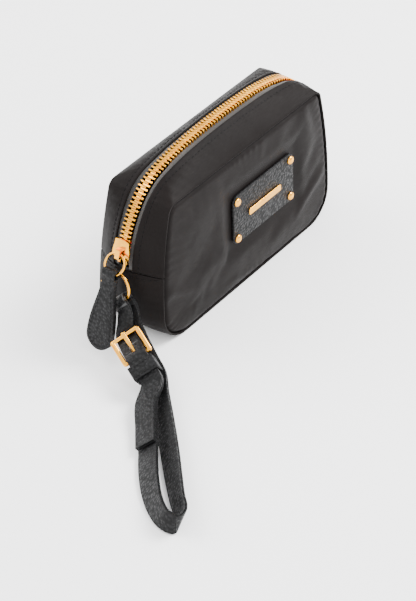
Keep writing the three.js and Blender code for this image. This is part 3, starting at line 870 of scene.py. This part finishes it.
def makeRivet(node):
    low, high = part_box(node)
    radius = (high.x - low.x) / 2
    piece = freshPrimitive(bpy.ops.mesh.primitive_uv_sphere_add, segments=32, ring_count=20, radius=radius)
    takeUp(piece)
    bpy.ops.object.mode_set(mode="EDIT")
    bpy.ops.mesh.select_all(action="SELECT")
    bpy.ops.mesh.bisect(plane_co=(0, 0, 0), plane_no=(0, 0, 1), clear_inner=True, use_fill=True)
    bpy.ops.object.mode_set(mode="OBJECT")
    piece.scale = (1, 1, (high.y - low.y) * 0.95 / radius)
    settle(piece)
    bevelEdges(piece, 0.12 * mm, 2, 60)
    leanOver(piece)
    middle = (low + high) / 2
    piece.data.transform(Matrix.Translation(Vector((middle.x, high.y, middle.z))))
    smoothOver(piece, 50)
    return finishPiece(piece, node + "_dome", "pouch", "brass", [gold], node)


print("name plate")
makePlate()
softened("name_bar", "_polished", "brass", [gold], 0.22 * mm, 3)
for number in range(1, 5):
    makeRivet("rivet_" + str(number))


# leather: two-ply strap, keeper, loop and pull tab

def narrowFaces(piece, widest):
    # faces of the cut edge get the edge paint
    for face in piece.data.polygons:
        points = [piece.data.vertices[i].co for i in face.vertices]
        sides = [(a - b).length for a, b in zip(points, points[1:] + points[:1])]
        face.material_index = 1 if min(sides) < widest else 0


def makeStrap(node):
    piece = copyOfNode(node, node + "_leather")
    for face in piece.data.polygons:
        face.use_smooth = True
    bevelEdges(piece, 0.2 * mm, 2, 60)
    smoothOver(piece, 50)
    finishPiece(piece, node + "_leather", "strap", "leather", [leather, edgePaint], node)
    narrowFaces(piece, 0.7 * mm)
    return piece


print("leather")
for node in ("strap_outer", "strap_lining"):
    makeStrap(node)
softened("strap_keeper", "_leather", "leather", [leather], 0.45 * mm, 3)
softened("ring_loop", "_leather", "leather", [leather], 0.3 * mm)
softened("pull_tab", "_leather", "leather", [leather], 0.75 * mm, 3, 50)

tab = {
    "top": Vector((-95.4763, 0, 52.2152)) * mm, "hang": math.radians(74), "width": 17.6 * mm, "neck": 8.4 * mm,
    "length": 43 * mm, "rise": 3.2 * mm, "inset": 1.7 * mm, "pitch": 2.5 * mm,
}


def bezier(a, b, c, d, steps):
    for i in range(steps):
        t = i / steps
        yield a * (1 - t) ** 3 + b * 3 * t * (1 - t) ** 2 + c * 3 * t * t * (1 - t) + d * t ** 3


def tabEdge():
    # one side of the tab from its neck to the middle of its foot, then the other side back up
    w, n, low = tab["width"] / 2, tab["neck"] / 2, -tab["length"]
    upper = [(-n, 0), (-n - 0.6 * mm, low * 0.3), (-w, low * 0.45), (-w, low + w)]
    lower = [(-w, low + w), (-w, low + 3 * mm), (-3.5 * mm, low), (0, low)]
    side = [point for leg in (upper, lower) for point in bezier(*[Vector(corner) for corner in leg], 40)]
    side.append(Vector((0, low)))
    return side + [Vector((-point.x, point.y)) for point in reversed(side[:-1])]


def tabStitches():
    skin = surfaceOf([bpy.data.objects["pull_tab_leather"]])
    down = Vector((-math.cos(tab["hang"]), 0, -math.sin(tab["hang"])))
    out = Vector((-math.sin(tab["hang"]), 0, math.cos(tab["hang"])))
    edge = tabEdge()
    path = []
    for before, point, after in zip(edge, edge[1:], edge[2:]):
        along = (after - before).normalized()
        inner = point + Vector((-along.y, along.x)) * tab["inset"]
        if inner.y < -7 * mm:
            path.append(tab["top"] + Vector((0, inner.x, 0)) - down * (inner.y - tab["rise"]))
    places = []
    for point, direction in walkEvenly(path, tab["pitch"]):
        hit, normal, _, _ = skin.ray_cast(point + out * 12 * mm, -out)
        if hit is not None:
            places.append((hit + normal * 0.04 * mm, direction, normal))
    return stitchRow("pull_tab_stitches", places, 1.7 * mm, 0.22 * mm, "pull_tab", "leather")


tabStitches()

buckle = {
    "centre": Vector((-106, -22, 19.5)) * mm,
    "across": Vector((0.7484, -0.4690, 0.4690)),
    "run": Vector((-0.3054, -0.8713, -0.3841)),
    "up": Vector((-0.5888, -0.1442, 0.7953)),
}


def keeperStitches():
    skin = surfaceOf([bpy.data.objects["strap_keeper_leather"]])
    places = []
    for along in (13.5, 19.0):
        for i in range(-3, 4):
            point = buckle["centre"] + buckle["run"] * along * mm + buckle["across"] * i * 1.9 * mm
            hit, normal, _, _ = skin.ray_cast(point + buckle["up"] * 20 * mm, -buckle["up"])
            if hit is not None:
                places.append((hit + normal * 0.04 * mm, buckle["across"], normal))
    return stitchRow("keeper_stitches", places, 1.4 * mm, 0.22 * mm, "keeper", "leather")


keeperStitches()

for node in ("front_lining", "back_lining", "gusset_lining_front", "gusset_lining_back", "bottom_lining"):
    lined = frame["nodes"][node]
    lined.data.materials.clear()
    lined.data.materials.append(liningCloth)


# floor

floor = freshPrimitive(bpy.ops.mesh.primitive_plane_add, size=12)
floor.name = "floor"
floor.data.materials.append(floorMaterial())
